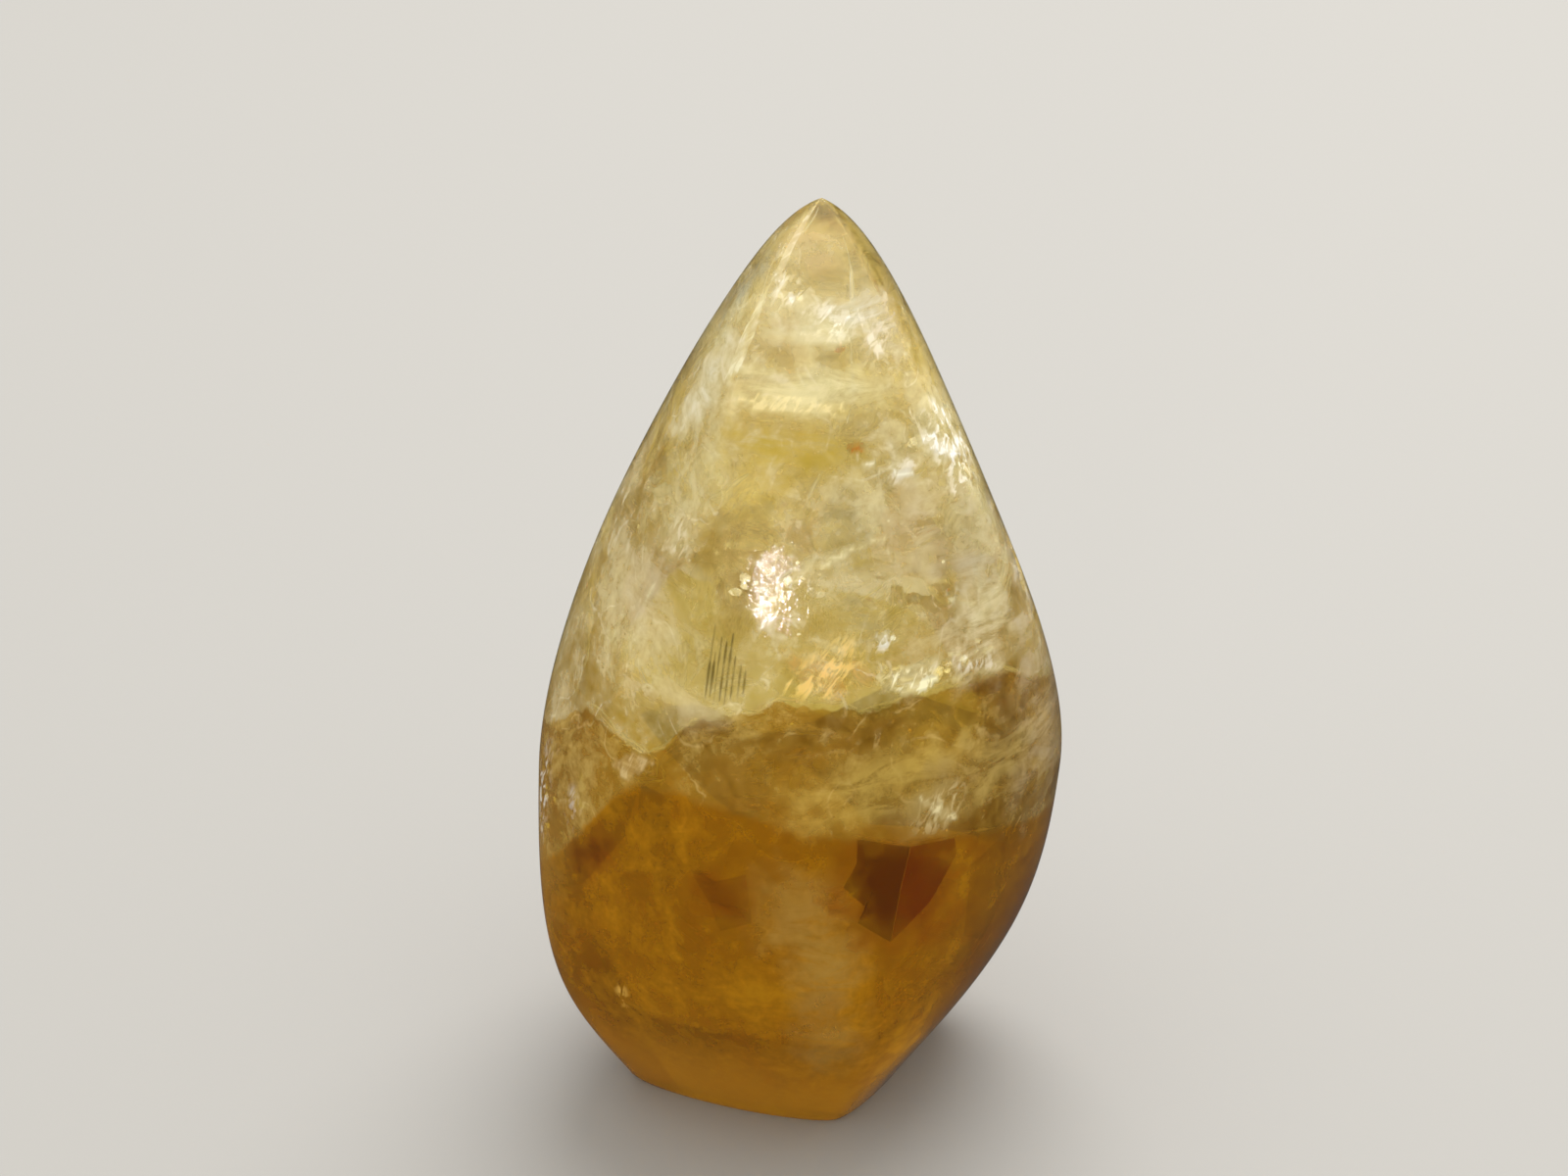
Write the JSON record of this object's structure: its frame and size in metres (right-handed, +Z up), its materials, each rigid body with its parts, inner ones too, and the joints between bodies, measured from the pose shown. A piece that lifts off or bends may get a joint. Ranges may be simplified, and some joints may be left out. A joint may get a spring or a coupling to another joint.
{
  "type": "polished citrine crystal",
  "caption": "Golden, see-through citrine crystal ground and polished into a twisted flame with a bluntly pointed tip, standing on a sawn flat base.",
  "frame": {"origin": "middle of the flat base", "axes": "+Z up from the base to the tip, -Y towards the viewer, +X to the viewer's right"},
  "size_m": [0.0307, 0.0282, 0.056],
  "materials": {
    "citrine": "polished, clear golden quartz with milky veils and healed cracks inside"
  },
  "bodies": {
    "root": {"crystal": "citrine"}
  },
  "joints": []
}
